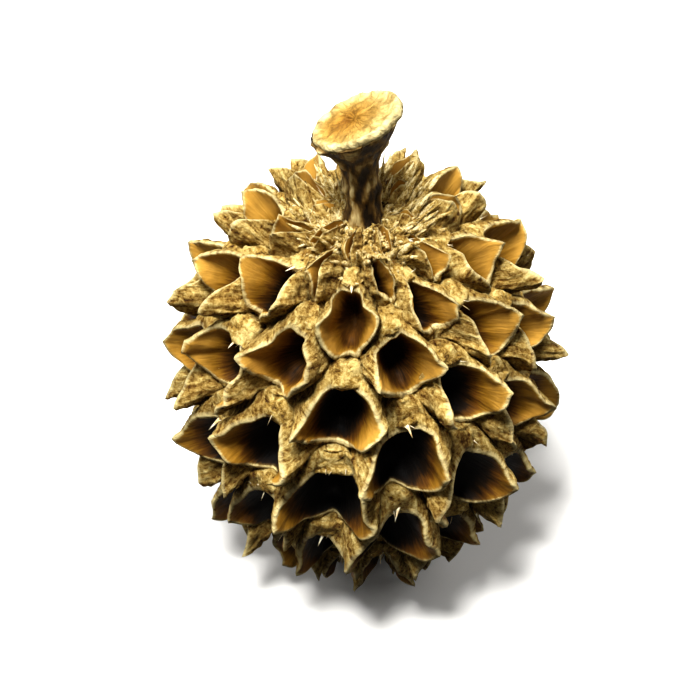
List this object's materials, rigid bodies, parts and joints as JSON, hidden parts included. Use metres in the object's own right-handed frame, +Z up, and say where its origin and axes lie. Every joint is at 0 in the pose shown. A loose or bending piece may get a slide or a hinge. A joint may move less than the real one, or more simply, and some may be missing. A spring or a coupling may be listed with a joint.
{
  "type": "casuarina cone",
  "caption": "Open, dry casuarina cone: a squat woody barrel of whorled fruits with gaping pointed valves, standing on its tip, with a short flared stalk on top.",
  "frame": {"origin": "centre of the small flat spot under the tip of the cone, on the surface that it stands on", "axes": "+Z up the axis of the cone towards the stalk, -Y towards the side that faces the viewer, +X to the viewer's right"},
  "size_m": [0.018, 0.018, 0.0262],
  "materials": {
    "cone_wood": "dry, rough straw-gold outside, smooth amber inside the valves",
    "stalk_bark": "rough, flaky dark brown bark with a pale cut end"
  },
  "bodies": {
    "root": {"cone": "cone_wood", "stalk": "stalk_bark"}
  },
  "joints": []
}
